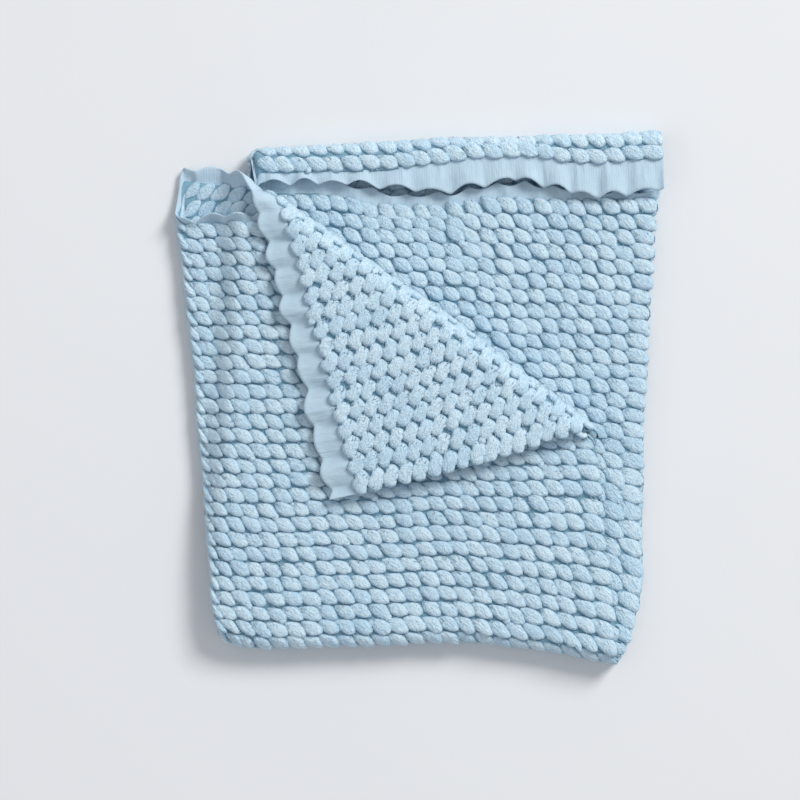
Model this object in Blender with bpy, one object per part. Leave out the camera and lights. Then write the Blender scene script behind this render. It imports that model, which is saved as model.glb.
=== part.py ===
"""A folded baby blanket of puffy waffle cotton, modelled as one closed sheet.

The cloth is described flat, in millimetres: w runs across its width and v along its length.
It is folded in half along its length at w = 0, which gives a doubled strip of two legs.
The strip is folded in half across at v = 0, the open end of the lower half is turned over,
and the right corner of the upper half is turned back as a flap.
"""

import bpy
import bmesh
import numpy as np
from mathutils import Vector
from mathutils.geometry import delaunay_2d_cdt

METRE = 0.001

# Cloth, in millimetres
THICKNESS = 6.2
HEM_THICKNESS = 2.0
SEAM_WIDTH = 5.0
SELVEDGE_TAPER = 5.0
LAYER_PITCH = 8.0
LEG_WIDTH = 374.0

# Height of each fold's axis above the lowest layer's middle, in layer pitches
CROSS_AXIS = 1.5
BAND_AXIS = 1.15
FLAP_AXIS = 3.6

# Plan places, in millimetres from the middle of the folded blanket
CROSS_CORNER = (-174.5, -217.0)
STRIP_LEAN = -3.3
CROSS_ANGLE = 1.15
BAND_START = (-144.0, 218.0)
BAND_ANGLE = 2.4
FLAP_START = (11.5, 65.0)
FLAP_ANGLE = -36.2
# Brings the middle of the bounding box onto the origin
PLAN_SHIFT = (-1.73, 1.95)

# Where each leg's two hems end along v, at the folded edge and at the selvedge
HEM_ENDS = {
    "lower_q": (-483.0, -487.5, -492.0, -497.5, -504.0, -513.5, -518.5, -516.5, -512.5, -521.5,
                -533.5, -541.0, -541.5, -544.0),
    "lower_p": (-420.0, -423.0, -424.0, -421.0, -414.0, -412.0, -414.0, -421.0, -430.0, -430.0,
                -428.0, -428.0, -428.0, -429.0),
    "upper_q": (420.0, 421.0),
    "upper_p": (441.0, 428.0),
}

# Width of each leg's two hems, at the folded edge and at the selvedge; a narrow one is rolled
HEM_WIDTHS = {
    "lower_q": (7.0, 7.5, 8.5, 9.5, 13.0, 22.0, 26.5, 26.5, 21.0, 25.0, 26.0, 30.0, 29.0, 27.0),
    "lower_p": (13.0, 13.0),
    "upper_q": (9.0, 10.0, 14.0, 18.0, 20.0),
    "upper_p": (23.0, 23.0),
}

# Share by which the legs are gathered across, at places along v
GATHER_PLACES = (-540.0, -430.0, -280.0, -90.0, 20.0, 150.0, 320.0)
GATHER_SHARES = (0.018, -0.004, 0.008, -0.010, 0.04, 0.04, -0.01)
OUTER_PLACES = (150.0, 230.0, 340.0, 430.0)
OUTER_SHARES = (0.0, 0.042, 0.042, 0.03)

# Unevenness of the laid cloth
RUFFLE_LENGTH = 23.0
RUFFLE_HEIGHT = 2.2
RUFFLE_REACH = 2.4
RUFFLE_LIFT = 1.4
END_PHASES = {"lower": 0.7, "upper": 2.3}
HEM_CURL = 0.8
HEM_STAND = 8.0
STAND_END = 68.0
SAG = 22.0
OVERHANG_DROP_LENGTH = 26.0
FLOOR_GAP = 0.3
CORNER_ROUNDING = 4.5
RIGHT_ROUNDING = 4.0
SIDE_BULGE = 4.0

# Spacing of the mesh points
HEM_STEP = 7.0
FOLD_STEP = 24.0
LATTICE_STEP = 27.0
ARC_STEPS = 6

COLOUR = (0.55, 0.72, 0.81, 1.0)
ROUGHNESS = 0.95

HALF_TURN = np.pi * LAYER_PITCH / 4.0
HALF_WIDTH = LEG_WIDTH + HALF_TURN


def direction(degrees):
    """Unit plan vector at an angle from +X."""
    angle = np.radians(degrees)
    return np.array([np.cos(angle), np.sin(angle)])


ACROSS = direction(STRIP_LEAN)
UP = direction(STRIP_LEAN + 90.0)
CORNER = np.array(CROSS_CORNER)


def smoothstep(value, low, high):
    """Rises smoothly from 0 at low to 1 at high."""
    x = np.clip((np.asarray(value, dtype=float) - low) / (high - low), 0.0, 1.0)
    return x * x * (3.0 - 2.0 * x)


def bump(offset, spread):
    """Bell curve of height 1."""
    return np.exp(-0.5 * (offset / spread) ** 2)


def turn_angle(w):
    """Angle around the lengthwise fold, 0 on the lower leg and pi on the upper one."""
    return np.clip((w + HALF_TURN) / (2.0 * HALF_TURN), 0.0, 1.0) * np.pi


def across_distance(w):
    """Distance along the leg from the lengthwise fold."""
    return np.maximum(np.abs(w) - HALF_TURN, 0.0)


def edge_wave(w, phase):
    """Uneven scallops of about the ruffle length, between -1 and 1."""
    turns = 2.0 * np.pi * w / RUFFLE_LENGTH + 1.3 * np.sin(w / 41.0 + phase) + phase
    scallop = 2.0 * np.sqrt(np.sin(0.5 * turns) ** 2 + 0.02) - 1.15
    return 0.75 * scallop + 0.3 * np.sin(0.61 * turns + 2.1 * phase)


def leg_value(w, table, end):
    """Value of a hem table across both legs, for the lower or the upper end of the cloth."""
    share = across_distance(w) / LEG_WIDTH
    values = table[end + "_q"]
    on_q = np.interp(share, np.linspace(0.0, 1.0, len(values)), values)
    values = table[end + "_p"]
    on_p = np.interp(share, np.linspace(0.0, 1.0, len(values)), values)
    return on_q + (on_p - on_q) * smoothstep(turn_angle(w), np.radians(55.0), np.radians(125.0))


def hem_end(w, end):
    """Place of the free edge along v, for the lower or the upper end of the cloth."""
    return leg_value(w, HEM_ENDS, end) + RUFFLE_REACH * edge_wave(w, END_PHASES[end])


def hem_distance(w, v):
    """Distance from the nearer free edge."""
    return np.minimum(v - hem_end(w, "lower"), hem_end(w, "upper") - v)


def hem_width(w, v):
    """Width of the nearer hem."""
    return np.where(v < 0.0, leg_value(w, HEM_WIDTHS, "lower"), leg_value(w, HEM_WIDTHS, "upper"))


def half_thickness(w, v):
    """Half the cloth's thickness: thin in the hems, rounded off at the selvedges."""
    body = smoothstep(hem_distance(w, v) - hem_width(w, v), -1.0, SEAM_WIDTH)
    selvedge = 0.55 + 0.45 * smoothstep(HALF_WIDTH - np.abs(w), 0.0, SELVEDGE_TAPER)
    full = THICKNESS * selvedge
    return 0.5 * (HEM_THICKNESS + (full - HEM_THICKNESS) * body)


def bend(point, normal, active, start, angle, axis_pitch):
    """Folds the cloth up and back over a plan line, each layer around one raised axis."""
    along = direction(angle)
    outward = np.array([-along[1], along[0]])
    plan = point[:, :2] - np.array(start)
    beyond = np.where(active, plan @ outward, 0.0)
    axis = axis_pitch * LAYER_PITCH
    radius = np.maximum(axis - point[:, 2], 0.05)
    theta = np.clip(beyond / radius, 0.0, np.pi)
    flat_rest = np.maximum(beyond - np.pi * radius, 0.0)
    reach = np.where(beyond > 0.0, radius * np.sin(theta) - flat_rest, beyond)
    moved = point.copy()
    shift = np.where(beyond > 0.0, reach - beyond, 0.0)
    moved[:, :2] += shift[:, None] * outward
    moved[:, 2] = np.where(beyond > 0.0, axis - radius * np.cos(theta), point[:, 2])
    level = normal[:, :2] @ outward
    turned_level = level * np.cos(theta) - normal[:, 2] * np.sin(theta)
    turned = normal.copy()
    turned[:, :2] += (turned_level - level)[:, None] * outward
    turned[:, 2] = level * np.sin(theta) + normal[:, 2] * np.cos(theta)
    return moved, turned, theta


def doubled_strip(w, v):
    """The cloth folded in half along its length."""
    angle = turn_angle(w)
    gather = np.interp(v, GATHER_PLACES, GATHER_SHARES)
    gather = gather + np.where(w < 0.0, np.interp(v, OUTER_PLACES, OUTER_SHARES), 0.0)
    across = across_distance(w) * (1.0 - gather) - 0.5 * LAYER_PITCH * np.sin(angle)
    height = 0.5 * LAYER_PITCH * (1.0 - np.cos(angle))
    plan = CORNER + across[:, None] * ACROSS - v[:, None] * UP
    normal = np.column_stack([np.sin(angle)[:, None] * ACROSS, np.cos(angle)])
    return np.column_stack([plan, height]), normal


def loosen_hems(point, normal, w, v):
    """Ruffles the hems off the layer below, stands one up and curls the one beside it."""
    angle = turn_angle(w)
    loose = 1.0 - smoothstep(hem_distance(w, v) / hem_width(w, v), 0.0, 1.25)
    near_fold = 1.0 - smoothstep(across_distance(w), 0.6 * STAND_END, STAND_END)
    stand = HEM_STAND * near_fold * (1.0 - smoothstep(angle, 0.0, 0.5 * np.pi))
    curl = HEM_CURL * LAYER_PITCH * smoothstep(angle, 0.6 * np.pi, np.pi)
    lift = RUFFLE_LIFT + RUFFLE_HEIGHT * edge_wave(w, 4.1) + np.where(v > 0.0, stand - curl, 0.0)
    return point - (loose * lift)[:, None] * normal


def settle(point):
    """Lets the overhanging edge sink to the surface and makes the outline uneven."""
    x, y, z = point[:, 0].copy(), point[:, 1].copy(), point[:, 2].copy()
    plan = np.column_stack([x, y]) - CORNER
    past_stack = -(plan @ ACROSS) - 0.5 * (LAYER_PITCH + THICKNESS)
    overhang = smoothstep(past_stack, 0.0, OVERHANG_DROP_LENGTH)
    z -= (2.0 * LAYER_PITCH - FLOOR_GAP) * overhang * smoothstep(plan @ UP, 20.0, 170.0)
    z *= 1.0 + 0.035 * np.sin(x / 53.0 + 0.6) * np.sin(y / 61.0 + 1.9)
    lower = 1.0 - smoothstep(y, -225.0, -40.0)
    y_sag = SAG * lower * np.clip((x - 2.0) / 172.0, 0.0, 1.15) ** 2
    pull = CORNER_ROUNDING * bump(x - CORNER[0] + 6.0, 15.0) * bump(y - CORNER[1] + 14.0, 15.0)
    bulge = SIDE_BULGE * bump(x - CORNER[0], 60.0) * bump(y - CORNER[1] - 38.0, 34.0)
    pull_right = RIGHT_ROUNDING * bump(x - 190.0, 13.0) * bump(y + 226.0, 13.0)
    moved_x = x + pull - pull_right - bulge + 1.1 * np.sin(y / 34.0 + 0.4) + 0.6 * np.sin(y / 15.0)
    moved_y = y + 0.8 * pull + 0.6 * pull_right - y_sag + 1.0 * np.sin(x / 39.0 + 1.0) + 0.5 * np.sin(x / 17.0)
    return np.column_stack([moved_x + PLAN_SHIFT[0], moved_y + PLAN_SHIFT[1], z])


def fold_cloth(w, v):
    """Middle points and face normals of the folded cloth at the flat places w and v."""
    point, normal = doubled_strip(w, v)
    flat = np.ones(len(w), dtype=bool)
    point, normal, crossed = bend(point, normal, flat, CORNER, CROSS_ANGLE + 180.0, CROSS_AXIS)
    lower = (v < -200.0) & (turn_angle(w) < 0.8 * np.pi)
    point, normal, _ = bend(point, normal, lower, BAND_START, BAND_ANGLE, BAND_AXIS)
    upper = crossed >= np.pi
    point, normal, _ = bend(point, normal, upper, FLAP_START, FLAP_ANGLE, FLAP_AXIS)
    return loosen_hems(point, normal, w, v), normal


def cloth_faces_at(w, v):
    """The two faces of the folded cloth, settled on the surface."""
    middle, normal = fold_cloth(w, v)
    middle[:, 2] += 0.5 * THICKNESS
    offset = half_thickness(w, v)[:, None] * normal
    return settle(middle + offset), settle(middle - offset)


def strip_place(plan, sign):
    """Flat place on one leg of a plan point of the unfolded strip."""
    relative = plan - CORNER
    return np.column_stack([sign * (relative @ ACROSS + HALF_TURN), -(relative @ UP)])


def uncross(plan, radius):
    """Plan point of the unfolded strip that the crosswise fold brings to this plan point."""
    along = direction(CROSS_ANGLE + 180.0)
    outward = np.array([-along[1], along[0]])
    inside = -((plan - CORNER) @ outward)
    return plan + (2.0 * inside + np.pi * radius)[:, None] * outward


def arc_lines(start, angle, radius, length):
    """Plan points on the lines along which one layer bends, before it is bent."""
    along = direction(angle)
    outward = np.array([-along[1], along[0]])
    places = np.arange(-length, length, FOLD_STEP)
    steps = radius * np.linspace(0.0, np.pi, ARC_STEPS + 1)
    grid = [np.array(start) + place * along + step * outward for place in places for step in steps]
    return np.array(grid)


def fold_points():
    """Flat places that lie on the arcs of each fold."""
    pitch = LAYER_PITCH
    families = []
    turn_columns = np.linspace(-HALF_TURN, HALF_TURN, ARC_STEPS + 1)
    leg_columns = np.arange(HALF_TURN + FOLD_STEP, HALF_WIDTH, FOLD_STEP)
    columns = np.concatenate([-leg_columns[::-1], turn_columns, leg_columns])
    outward = direction(CROSS_ANGLE - 90.0)
    for w in columns:
        height = 0.5 * pitch * (1.0 - np.cos(turn_angle(w)))
        steps = (CROSS_AXIS * pitch - height) * np.linspace(0.0, np.pi, ARC_STEPS + 1)
        along = (steps - across_distance(w) * (ACROSS @ outward)) / -(UP @ outward)
        families.append(np.column_stack([np.full(len(along), w), along]))
    crossing = np.vstack(families)
    rows = np.arange(-600.0, 600.0, FOLD_STEP)
    rows = rows[(rows < -12.0) | (rows > 1.5 * np.pi * pitch + 12.0)]
    turn = np.array([(w, v) for w in turn_columns for v in rows])
    band = strip_place(arc_lines(BAND_START, BAND_ANGLE, BAND_AXIS * pitch, 420.0), -1.0)
    flap_p = arc_lines(FLAP_START, FLAP_ANGLE, (FLAP_AXIS - 2.0) * pitch, 420.0)
    flap_q = arc_lines(FLAP_START, FLAP_ANGLE, (FLAP_AXIS - 3.0) * pitch, 420.0)
    flap_p = strip_place(uncross(flap_p, 0.5 * pitch), 1.0)
    flap_q = strip_place(uncross(flap_q, 1.5 * pitch), -1.0)
    band = band[band[:, 0] < -HALF_TURN]
    flap_p = flap_p[(flap_p[:, 0] > HALF_TURN + 6.0) & (flap_p[:, 1] > 60.0)]
    flap_q = flap_q[(flap_q[:, 0] < -HALF_TURN - 6.0) & (flap_q[:, 1] > 60.0)]
    return [crossing, turn, flap_p, flap_q, band] + overhang_points()


def overhang_points():
    """Flat places where the upper half sinks past the lower half's folded edge."""
    families = []
    for radius, sign in ((0.5, 1.0), (1.5, -1.0)):
        insets = -0.5 * (LAYER_PITCH + THICKNESS) - OVERHANG_DROP_LENGTH * np.linspace(0.0, 1.0, 4)
        rows = np.arange(30.0, 440.0, FOLD_STEP)
        plan = np.array([CORNER + inset * ACROSS + row * UP for row in rows for inset in insets])
        places = strip_place(uncross(plan, radius * LAYER_PITCH), sign)
        families.append(places[sign * places[:, 0] > HALF_TURN + 4.0])
    return families


def hem_points():
    """Flat places along the seam and the middle of both hems."""
    families = []
    for end, sign in (("lower", 1.0), ("upper", -1.0)):
        fine = np.arange(-HALF_WIDTH + HEM_STEP, HALF_WIDTH, HEM_STEP)
        coarse = np.arange(-HALF_WIDTH + HEM_STEP, HALF_WIDTH, 2.0 * HEM_STEP)
        for share, extra, w in ((0.5, 0.0, fine), (1.0, 0.0, coarse), (1.0, SEAM_WIDTH, coarse)):
            inset = share * leg_value(w, HEM_WIDTHS, end) + extra
            families.append(np.column_stack([w, hem_end(w, end) + sign * inset]))
    return families


def selvedge_points():
    """Flat places just inside both selvedges."""
    rows = np.arange(-600.0, 600.0, 0.5 * FOLD_STEP)
    inset = HALF_WIDTH - SELVEDGE_TAPER
    return np.array([(side * inset, v) for side in (-1.0, 1.0) for v in rows])


def lattice_points():
    """Flat places of an even triangular lattice over the rest of the cloth."""
    rows = np.arange(-600.0, 600.0, LATTICE_STEP * np.sqrt(0.75))
    columns = np.arange(-HALF_WIDTH, HALF_WIDTH, LATTICE_STEP)
    shift = 0.5 * LATTICE_STEP
    grid = [(w + shift * (i % 2), v) for i, v in enumerate(rows) for w in columns]
    return np.array(grid)


def outline_points():
    """The cut outline of the flat cloth, counter-clockwise."""
    turn = np.linspace(-HALF_TURN, HALF_TURN, 2 * ARC_STEPS + 1)
    leg = np.arange(HALF_TURN + HEM_STEP, HALF_WIDTH - 2.0, HEM_STEP)
    w = np.concatenate([[-HALF_WIDTH], -leg[::-1], turn, leg, [HALF_WIDTH]])
    lower = np.column_stack([w, hem_end(w, "lower")])
    upper = np.column_stack([w, hem_end(w, "upper")])[::-1]
    right_rows = np.arange(lower[-1, 1] + 12.0, upper[0, 1] - 10.0, FOLD_STEP)
    left_rows = np.arange(lower[0, 1] + 12.0, upper[-1, 1] - 10.0, FOLD_STEP)[::-1]
    right = np.column_stack([np.full(len(right_rows), HALF_WIDTH), right_rows])
    left = np.column_stack([np.full(len(left_rows), -HALF_WIDTH), left_rows])
    return np.vstack([lower, right, upper, left])


def keep_clear(points, others, clearance):
    """The points that are inside the outline and farther than the clearance from others."""
    w, v = points[:, 0], points[:, 1]
    inside = (np.abs(w) < HALF_WIDTH - 2.0) & (hem_distance(w, v) > 4.0)
    points = points[inside]
    gaps = np.linalg.norm(points[:, None, :] - others[None, :, :], axis=2)
    return points[gaps.min(axis=1) > clearance]


def flat_triangles():
    """Flat places and the triangles that join them, counter-clockwise."""
    outline = outline_points()
    places = outline
    families = [(family, 3.2) for family in fold_points()]
    families += [(family, 3.2) for family in hem_points()]
    families += [(selvedge_points(), 3.5), (lattice_points(), 14.0)]
    for family, clearance in families:
        places = np.vstack([places, keep_clear(family, places, clearance)])
    count = len(outline)
    edges = [(i, (i + 1) % count) for i in range(count)]
    vectors = [Vector(place) for place in places]
    flat, _, faces, _, _, _ = delaunay_2d_cdt(vectors, edges, [], 1, 1e-4)
    flat = np.array([vector[:] for vector in flat])
    corners = np.array([tuple(face) for face in faces])
    a, b, c = flat[corners[:, 0]], flat[corners[:, 1]], flat[corners[:, 2]]
    area = (b[:, 0] - a[:, 0]) * (c[:, 1] - a[:, 1]) - (b[:, 1] - a[:, 1]) * (c[:, 0] - a[:, 0])
    corners[area < 0.0] = corners[area < 0.0][:, ::-1]
    return flat, corners


def blanket_mesh():
    """The closed folded sheet: both faces of the cloth and the rim between them."""
    flat, corners = flat_triangles()
    inner, outer = cloth_faces_at(flat[:, 0], flat[:, 1])
    mesh = bmesh.new()
    inner_verts = [mesh.verts.new(point * METRE) for point in inner]
    outer_verts = [mesh.verts.new(point * METRE) for point in outer]
    used = set()
    for a, b, c in corners:
        mesh.faces.new((inner_verts[a], inner_verts[b], inner_verts[c]))
        mesh.faces.new((outer_verts[c], outer_verts[b], outer_verts[a]))
        used.update([(a, b), (b, c), (c, a)])
    for a, b in used:
        if (b, a) not in used:
            mesh.faces.new((inner_verts[b], inner_verts[a], outer_verts[a], outer_verts[b]))
    bmesh.ops.triangulate(mesh, faces=mesh.faces[:])
    return mesh


def cotton_material():
    """Pale blue cotton."""
    material = bpy.data.materials.new("blue_cotton")
    material.use_nodes = True
    shader = material.node_tree.nodes["Principled BSDF"]
    shader.inputs["Base Color"].default_value = COLOUR
    shader.inputs["Roughness"].default_value = ROUGHNESS
    shader.inputs["Metallic"].default_value = 0.0
    return material


def main():
    for old in list(bpy.data.objects):
        bpy.data.objects.remove(old, do_unlink=True)
    mesh = bpy.data.meshes.new("blanket")
    solid = blanket_mesh()
    solid.to_mesh(mesh)
    solid.free()
    mesh.materials.append(cotton_material())
    mesh.shade_smooth()
    blanket = bpy.data.objects.new("blanket", mesh)
    bpy.context.scene.collection.objects.link(blanket)


main()
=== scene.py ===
"""Looks of a folded baby blanket: woven puffs on a ground cloth, with ruffled plain-weave hems.

The cloth is described flat, in millimetres, as in the CAD source: w runs across its width and
v along its length. The same folds that shape the CAD sheet carry every puff and hem point.
Folded along its length it has two legs, q on the outside of the stack and p inside it. Folded
again across its length it has a lower half, where v is low, and an upper half on top. Within
one puff, s runs along w and t along v, both turned round on leg q.
"""

import bpy
import numpy as np
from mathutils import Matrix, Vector


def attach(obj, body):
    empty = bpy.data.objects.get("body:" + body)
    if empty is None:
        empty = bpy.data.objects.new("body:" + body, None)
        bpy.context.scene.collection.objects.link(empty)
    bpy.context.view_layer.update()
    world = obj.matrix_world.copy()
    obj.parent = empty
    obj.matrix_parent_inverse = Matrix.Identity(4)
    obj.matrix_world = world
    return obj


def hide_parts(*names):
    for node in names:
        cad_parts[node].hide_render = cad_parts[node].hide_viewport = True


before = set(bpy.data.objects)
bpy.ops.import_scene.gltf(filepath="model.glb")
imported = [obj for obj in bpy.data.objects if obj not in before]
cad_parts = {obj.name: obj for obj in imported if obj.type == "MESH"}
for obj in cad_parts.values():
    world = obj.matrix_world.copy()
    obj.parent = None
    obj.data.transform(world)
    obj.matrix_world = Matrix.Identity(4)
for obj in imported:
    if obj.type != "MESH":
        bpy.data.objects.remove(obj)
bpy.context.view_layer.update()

METRE = 0.001

# Cloth and its folds, as in the CAD source: millimetres and degrees, fold axes in layer pitches
THICKNESS = 6.2
HEM_THICKNESS = 2.0
LAYER_PITCH = 8.0
LEG_WIDTH = 374.0
CROSS_AXIS = 1.5
BAND_AXIS = 1.15
FLAP_AXIS = 3.6
LEAST_RADIUS = 0.05
CROSS_CORNER = (-174.5, -217.0)
STRIP_LEAN = -3.3
CROSS_ANGLE = 1.15
BAND_START = (-144.0, 218.0)
BAND_ANGLE = 2.4
BAND_PART = -200.0
BAND_LEG_TURN = 0.8
FLAP_START = (11.5, 65.0)
FLAP_ANGLE = -36.2
PLAN_SHIFT = (-1.73, 1.95)
HALF_TURN = np.pi * LAYER_PITCH / 4.0
HALF_WIDTH = LEG_WIDTH + HALF_TURN

# Free edges and hem widths in millimetres across each leg, and gathers in shares of the width
HEM_ENDS = {
    "lower_q": (-483.0, -487.5, -492.0, -497.5, -504.0, -513.5, -518.5, -516.5, -512.5, -521.5,
                -533.5, -541.0, -541.5, -544.0),
    "lower_p": (-420.0, -423.0, -424.0, -421.0, -414.0, -412.0, -414.0, -421.0, -430.0, -430.0,
                -428.0, -428.0, -428.0, -429.0),
    "upper_q": (420.0, 421.0),
    "upper_p": (441.0, 428.0),
}
HEM_WIDTHS = {
    "lower_q": (7.0, 7.5, 8.5, 9.5, 13.0, 22.0, 26.5, 26.5, 21.0, 25.0, 26.0, 30.0, 29.0, 27.0),
    "lower_p": (13.0, 13.0, 13.0, 13.0, 13.0, 13.0, 12.0, 6.0, 4.0),
    "upper_q": (6.0, 9.0, 14.0, 18.0, 20.0),
    "upper_p": (9.0, 19.0, 24.0, 24.0, 23.0, 22.0, 22.0, 24.0, 26.0),
}
LEG_CHANGE = (55.0, 125.0)
GATHER_PLACES = (-540.0, -430.0, -280.0, -90.0, 20.0, 150.0, 320.0)
GATHER_SHARES = (0.018, -0.004, 0.008, -0.010, 0.04, 0.04, -0.01)
OUTER_PLACES = (150.0, 230.0, 340.0, 430.0)
OUTER_SHARES = (0.0, 0.042, 0.042, 0.03)

# Ruffles of the hems, in millimetres, radians and shares
RUFFLE_LENGTH = 29.0
RUFFLE_HEIGHT = 3.0
RUFFLE_REACH = 3.8
RUFFLE_LIFT = 1.4
RUFFLE_DRIFT = 1.3
RUFFLE_DRIFT_LENGTH = 41.0
SCALLOP_SHARE = 0.75
SCALLOP_BLUNTNESS = 0.02
SCALLOP_LEVEL = 1.15
SWELL_SHARE = 0.3
SWELL_TURNS = 0.61
SWELL_PHASE = 2.1
END_PHASES = {"lower": 0.7, "upper": 2.3}
LOOSE_SHARE = 1.25
HEM_CURL = 0.8
CURL_START = 0.6
HUG_ANGLE = 1.9
HUG_SPREAD = 0.5
HEM_STAND = 8.0
STAND_END = 68.0
STAND_FULL_SHARE = 0.6

# Settling on the surface: zones and places in plan, and waves of height, length and phase
SAG = 22.0
SAG_ZONE = (-225.0, -40.0)
SAG_START = 2.0
SAG_LENGTH = 172.0
SAG_LIMIT = 1.15
OVERHANG_DROP_LENGTH = 26.0
OVERHANG_ZONE = (20.0, 170.0)
FLOOR_GAP = 0.3
UNEVENNESS = 0.035
UNEVEN_LENGTHS = (53.0, 61.0)
UNEVEN_PHASES = (0.6, 1.9)
LEFT_ROUNDING = 4.5
LEFT_PLACE = (-180.5, -231.0)
LEFT_SPREAD = (15.0, 15.0)
LEFT_RAISE = 0.8
RIGHT_ROUNDING = 4.0
RIGHT_PLACE = (190.0, -226.0)
RIGHT_SPREAD = (13.0, 13.0)
RIGHT_RAISE = 0.6
SIDE_BULGE = 4.0
BULGE_PLACE = (-174.5, -179.0)
BULGE_SPREAD = (60.0, 34.0)
SIDE_WAVES = ((1.1, 34.0, 0.4), (0.6, 15.0, 0.0))
END_WAVES = ((1.0, 39.0, 1.0), (0.5, 17.0, 0.0))

# Ground cloth and hem strips, in millimetres and as shares of the hem's width
GROUND_HALF = 1.0
GROUND_INSET = 3.5
GROUND_STEP = 4.4
GROUND_TURN_STEPS = 13
GROUND_ROWS = (96, 24, 84)
CROSS_FOLD_SPAN = (-12.0, 50.0)
SEAM_GAP = 1.0
HEM_STEP = 1.6
HEM_TURN_STEPS = 17
HEM_ROWS = 13
HEM_LAP = 2.5
HEM_BODY = 0.75
HEM_ROLL = 0.35
HEM_ROLL_SPREAD = 0.08
HEM_RIM = 0.5
HEM_RIM_SPREAD = 0.02
PLEAT_DEPTH = 0.12
PLEAT_LENGTH = 1.35
PLEAT_DRIFT = 1.7
PLEAT_DRIFT_LENGTH = 11.0
PLEAT_ZONE = (0.55, 1.0)
TUCK_DEPTH = 1.1
TUCK_SPACING = 31.0
TUCK_PLACE = 15.0
TUCK_WIDTH = 1.6
TUCK_DRIFT = 7.0
TUCK_DRIFT_LENGTH = 53.0
TUCK_ZONE = (-0.3, 0.7)

# Woven puffs: places and sizes, in millimetres
PUFF_COLUMNS = 24
PUFF_ROWS = {"q": 65, "p": 60}
HALF_SPLIT = 10.0
FOLD_NARROWING = 0.26
FOLD_NARROWING_COLUMNS = 1.6
SELVEDGE_GROWTH = 0.22
SELVEDGE_GROWTH_COLUMNS = 0.8
HEM_STRAY_ROWS = 1.2
FOLD_STRETCH = 0.35
FOLD_STRETCH_SPREAD = 0.3
SELVEDGE_OVERHANG = 3.6
SELVEDGE_ROUND = 5.0
SELVEDGE_EASE = 1.4
SELVEDGE_TUCK = 9.0
SELVEDGE_TUCK_LENGTH = 40.0
SELVEDGE_TUCK_TURN = 0.15
BAND_TEAR = 3.6
EXPOSED_RISE = 5.4
COVERED_RISE = 3.6
RESTING_RISE = 3.0
LEAST_RISE = 0.2
FLAP_PRESS = 1.6
PRESS_TURN = (0.3, 0.9)
RISE_TURN = (0.1, 0.8)
RISE_PAST_FLAP = (14.0, 30.0)

# Shapes of a puff: cut corners, reach in shares of its size, lean, tilt and the dome's profile
PLUMP = {
    "cuts": (0.12, 0.28, 0.04, 0.16), "spread": 15.0, "squareness": 7.0, "reach": (0.55, 0.505),
    "lean": 0.44, "shift": (0.0, 0.0), "tilt": (0.24, 0.16), "profile": (0.75, 0.45, 0.85),
}
OPEN = {
    "cuts": (0.16, 0.47, 0.16, 0.45), "spread": 16.0, "squareness": 4.0, "reach": (0.62, 0.62),
    "lean": 0.06, "shift": (0.0, 0.0), "tilt": (0.06, 0.08), "profile": (0.50, 0.50, 0.80),
}
NUB = {
    "cuts": (0.2, 0.2, 0.2, 0.2), "spread": 18.0, "squareness": 4.0, "reach": (0.25, 0.28),
    "lean": 0.0, "shift": (0.44, 0.46), "tilt": (0.0, 0.0), "profile": (0.8, 0.8, 0.9),
}
CUT_CORNERS = (45.0, 135.0, 225.0, 315.0)
PUFF_BOTTOM = -28.0
EXPOSED_GRID = (9, 22)
NUB_GRID = (5, 12)
COVERED_GRID = (3, 9)
EXPOSED_PARTS = 2
NUB_SHARE = 0.035

# How single puffs differ
SEED = 11
TWIST = 3.0
WOBBLE = 0.05
WOBBLE_LOBES = 3.0
WOBBLE_PHASES = (0.0, 6.28)
SIZE_SPREAD = 0.045
PLACE_SPREAD = (0.6, 0.45)
RISE_SPREAD = 0.06
CRUMPLE_TURNS = (3.1, 4.7, 6.3, 8.6, 11.5)
CRUMPLE_SHARE = 0.6
DENT_DEPTH = 0.10
DENT_FADE = 1.5

# Loose fibres, in millimetres and degrees
FIBRES_A_PUFF = 9
FIBRE_LENGTH = (2.5, 6.0)
FIBRE_WIDTH = 0.9
FIBRE_HEADINGS = (50.0, 230.0)
FIBRE_HEADING_SPREAD = 26.0
FIBRE_ROOT_SPREAD = 40.0
FIBRE_ROOTS = (0.5, 0.95)
FIBRE_CORNERS = ((-0.5, 0.0, -0.15), (0.5, 0.0, -0.15), (0.0, 0.0, 0.3), (0.0, 1.0, 0.0))
FIBRE_FACES = ((0, 1, 2), (0, 3, 1), (1, 3, 2), (2, 3, 0))
FIBRE_LEAST_SHARE = 0.45
FIBRE_LIFT = 0.25
FIBRE_TONES = (0.3, 1.0)

# Which puffs are in sight: turns of a fold, distances in plan and flat places
FRONT_TURN = 0.9
SIDE_PAST_FLAP = -12.0
SIDE_PAST_CORNER = 150.0
FOLD_TURN = 0.05
UPPER_EDGE = 385.0
SELVEDGE_SEEN = 320.0
SELVEDGE_SEEN_ROWS = 90.0
INSIDE_SEEN = 110.0
INSIDE_SEEN_ROWS = 380.0

# Colours
PUFF_PALE = (0.72, 0.90, 1.0, 1.0)
PUFF_MIDDLE = (0.48, 0.70, 0.87, 1.0)
# Painted shade: the colour the puffs darken to down their sides
PUFF_PAINTED_SHADE = (0.26, 0.49, 0.65, 1.0)
# Painted shade: the ground cloth is coloured darker than the puffs, so the pits between them look shaded
GROUND_SHADE_COLOURS = ((0.18, 0.35, 0.46, 1.0), (0.24, 0.43, 0.54, 1.0))
HEM_COLOURS = ((0.42, 0.58, 0.70, 1.0), (0.57, 0.73, 0.84, 1.0))
FLOOR_COLOURS = ((0.80, 0.82, 0.845, 1.0), (0.83, 0.85, 0.87, 1.0))
SHEEN_TINT = (0.80, 0.90, 1.0, 1.0)

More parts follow.
